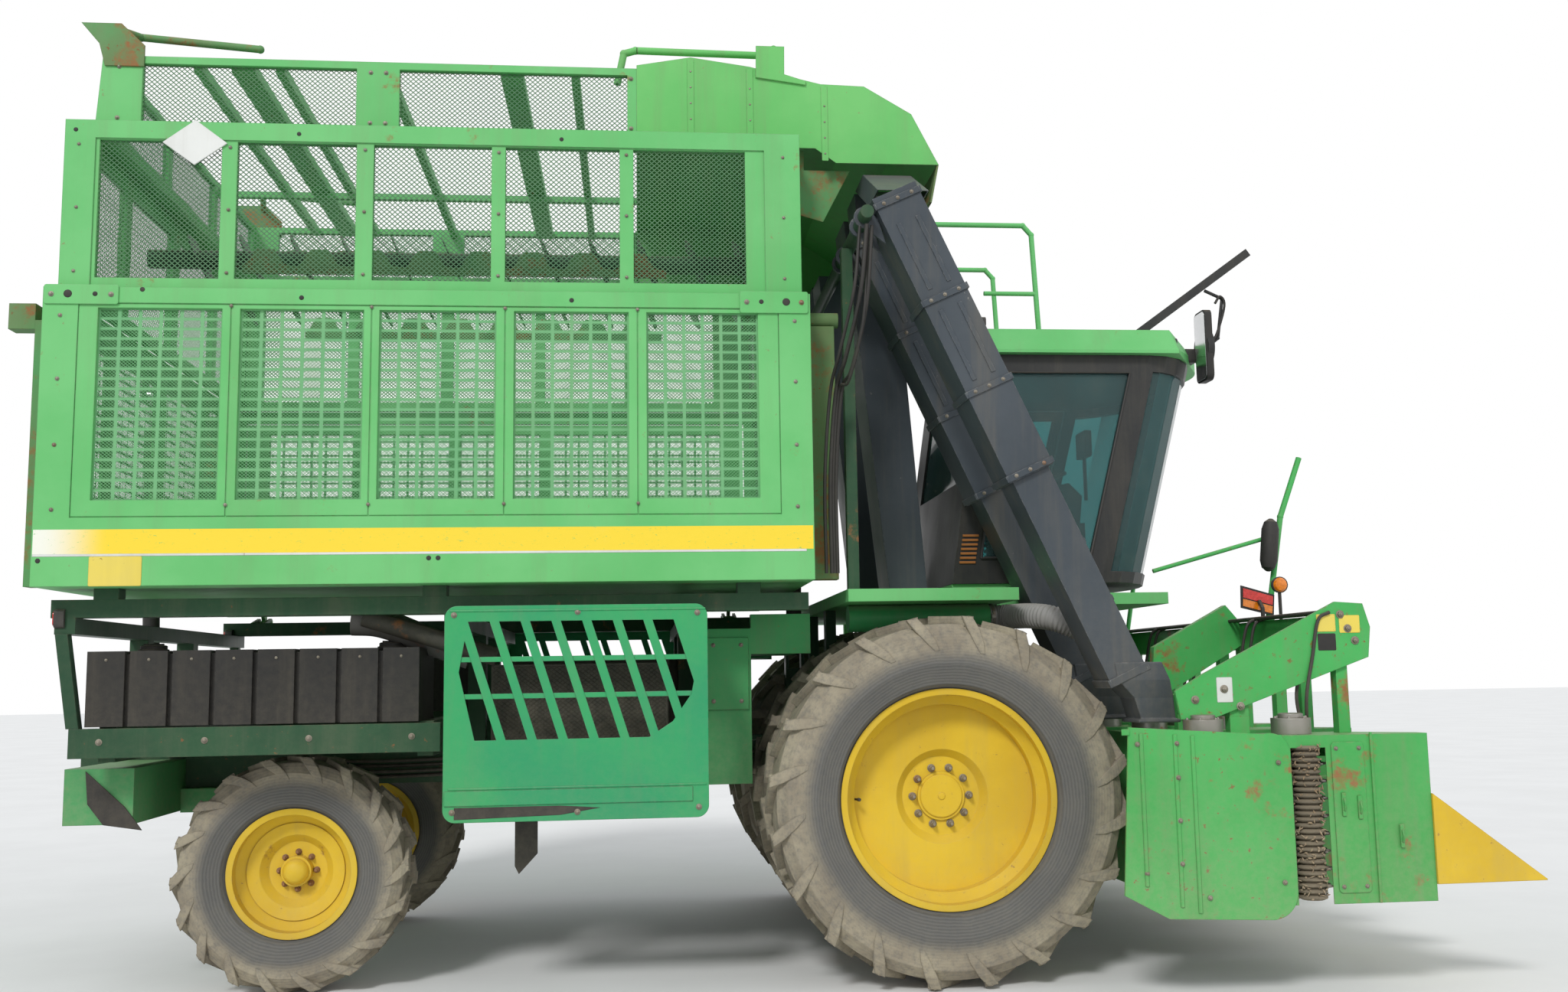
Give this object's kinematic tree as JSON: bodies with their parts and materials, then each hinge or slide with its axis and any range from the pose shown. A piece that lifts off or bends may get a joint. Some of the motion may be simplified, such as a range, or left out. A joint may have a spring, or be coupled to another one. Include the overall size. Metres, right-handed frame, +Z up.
{
  "type": "six-row self-propelled cotton picker",
  "caption": "Self-propelled cotton picker with a row-unit header, air ducts, a hollow cab and a tall dumping basket on a wheeled chassis.",
  "frame": {"origin": "on the ground, under the middle of the machine's overall length and on its centre plane", "axes": "+X forward, +Y to the machine's left, +Z up"},
  "size_m": [7.585, 4.624, 5.072],
  "materials": {
    "faded_green": "faded satin paint",
    "dark_green": "satin paint",
    "shield_green": "gloss paint",
    "yellow_paint": "satin paint",
    "black_paint": "satin paint, scuffed",
    "black_plastic": "matt moulded plastic",
    "worn_steel": "worn steel",
    "tyre_rubber": "dusty rubber",
    "cab_glass": "tinted glass",
    "seat_cloth": "woven cloth",
    "grey_rubber": "ribbed hose"
  },
  "bodies": {
    "chassis": {"frame": "dark_green", "axles": "dark_green", "engine": "black_paint", "engine_shields": "shield_green", "body_panels": "dark_green", "ribbed_tanks": "black_plastic", "platform": "faded_green", "cab_frame": "black_paint", "cab_glass": "cab_glass", "cab_roof": "faded_green", "cab_seat": "seat_cloth", "mirrors": "black_paint", "air_hose": "grey_rubber", "inner_ducts": "black_paint"},
    "cab_door": {"cab_door": "black_paint", "cab_door_glass": "cab_glass"},
    "basket": {"basket_walls": "faded_green", "basket_beams": "dark_green", "extension_frame": "faded_green", "basket_mesh": "faded_green", "hood": "faded_green", "augers": "dark_green"},
    "dump_door": {"dump_door": "faded_green", "dump_door_mesh": "faded_green"},
    "tilt_barrels": {"tilt_barrels": "worn_steel"},
    "tilt_rods": {"tilt_rods": "worn_steel"},
    "lift_arms": {"lift_arms": "dark_green"},
    "header": {"header_frame": "faded_green", "unit_cabinets": "faded_green", "unit_drums": "worn_steel", "row_dividers": "yellow_paint"},
    "lift_barrels": {"lift_barrels": "worn_steel"},
    "lift_rods": {"lift_rods": "worn_steel"},
    "upper_ducts": {"upper_ducts": "black_paint"},
    "lower_ducts": {"lower_ducts": "black_paint"},
    "front_wheels_right": {"front_tyres_right": "tyre_rubber", "front_rims_right": "yellow_paint"},
    "front_wheels_left": {"front_tyres_left": "tyre_rubber", "front_rims_left": "yellow_paint"},
    "rear_wheel_right": {"rear_tyre_right": "tyre_rubber", "rear_rim_right": "yellow_paint"},
    "rear_wheel_left": {"rear_tyre_left": "tyre_rubber", "rear_rim_left": "yellow_paint"},
    "knuckle_right": {"knuckle_right": "dark_green"},
    "knuckle_left": {"knuckle_left": "dark_green"}
  },
  "joints": [
    {"name": "basket_tilt", "type": "hinge", "parent": "chassis", "child": "basket", "pos_m": [-1.6105, 1.8, 2], "axis": [-1, 0, 0], "range_deg": [0, 55]},
    {"name": "tilt_barrel_turn", "type": "hinge", "parent": "chassis", "child": "tilt_barrels", "pos_m": [-1.6105, 0.4, 1.75], "axis": [-1, 0, 0], "range_deg": [0, 41.1]},
    {"name": "tilt_rod_slide", "type": "slide", "parent": "tilt_barrels", "child": "tilt_rods", "axis": [0, -0.0916, 0.9958], "range_m": [0, 1.2]},
    {"name": "dump_door_swing", "type": "hinge", "parent": "basket", "child": "dump_door", "pos_m": [-1.5975, 1.776, 2.48], "axis": [-1, 0, 0], "range_deg": [0, 100]},
    {"name": "header_lift", "type": "hinge", "parent": "chassis", "child": "lift_arms", "pos_m": [1.3895, 0, 1.6], "axis": [0, -1, 0], "range_deg": [0, 29]},
    {"name": "header_level", "type": "hinge", "parent": "lift_arms", "child": "header", "pos_m": [2.24147, 0, 1.37967], "axis": [0, -1, 0], "range_deg": [-29.5, 0]},
    {"name": "lift_barrel_turn", "type": "hinge", "parent": "chassis", "child": "lift_barrels", "pos_m": [1.5945, 0, 1.165], "axis": [0, -1, 0], "range_deg": [0, 19]},
    {"name": "lift_rod_slide", "type": "slide", "parent": "lift_barrels", "child": "lift_rods", "axis": [0.7528, 0, 0.6582], "range_m": [0, 0.221]},
    {"name": "duct_turn", "type": "hinge", "parent": "chassis", "child": "upper_ducts", "pos_m": [0.5895, 0, 3.92], "axis": [0, -1, 0], "range_deg": [0, 4.6]},
    {"name": "duct_slide", "type": "slide", "parent": "upper_ducts", "child": "lower_ducts", "axis": [-0.4147, 0, 0.91], "range_m": [0, 0.39]},
    {"name": "cab_door_swing", "type": "hinge", "parent": "chassis", "child": "cab_door", "pos_m": [1.32588, 0.836, 2.15], "axis": [0.1532, 0, 0.9882], "range_deg": [0, 55]},
    {"name": "steer_right", "type": "hinge", "parent": "chassis", "child": "knuckle_right", "pos_m": [-2.3605, -0.77, 0.65], "axis": [0, 0, 1], "range_deg": [-35, 35]},
    {"name": "steer_left", "type": "hinge", "parent": "chassis", "child": "knuckle_left", "pos_m": [-2.3605, 0.77, 0.65], "axis": [0, 0, 1], "range_deg": [-35, 35]},
    {"name": "front_roll_right", "type": "hinge", "parent": "chassis", "child": "front_wheels_right", "pos_m": [0.9895, -1.143, 0.935], "axis": [0, 1, 0], "continuous": true},
    {"name": "front_roll_left", "type": "hinge", "parent": "chassis", "child": "front_wheels_left", "pos_m": [0.9895, 1.143, 0.935], "axis": [0, 1, 0], "continuous": true},
    {"name": "rear_roll_right", "type": "hinge", "parent": "knuckle_right", "child": "rear_wheel_right", "pos_m": [-2.3605, -1.09, 0.6], "axis": [0, 1, 0], "continuous": true},
    {"name": "rear_roll_left", "type": "hinge", "parent": "knuckle_left", "child": "rear_wheel_left", "pos_m": [-2.3605, 1.09, 0.6], "axis": [0, 1, 0], "continuous": true}
  ],
  "couplings": [
    {"joint": "tilt_barrel_turn", "follows": "basket_tilt", "ratio": 0.7389},
    {"joint": "tilt_rod_slide", "follows": "basket_tilt", "m_per_rad": 1.2479},
    {"joint": "header_level", "follows": "header_lift", "ratio": -1},
    {"joint": "lift_barrel_turn", "follows": "header_lift", "ratio": 0.63653},
    {"joint": "lift_rod_slide", "follows": "header_lift", "m_per_rad": 0.43245},
    {"joint": "duct_turn", "follows": "header_lift", "ratio": 0.1534},
    {"joint": "duct_slide", "follows": "header_lift", "m_per_rad": 0.7663},
    {"joint": "steer_left", "follows": "steer_right", "ratio": 1}
  ]
}
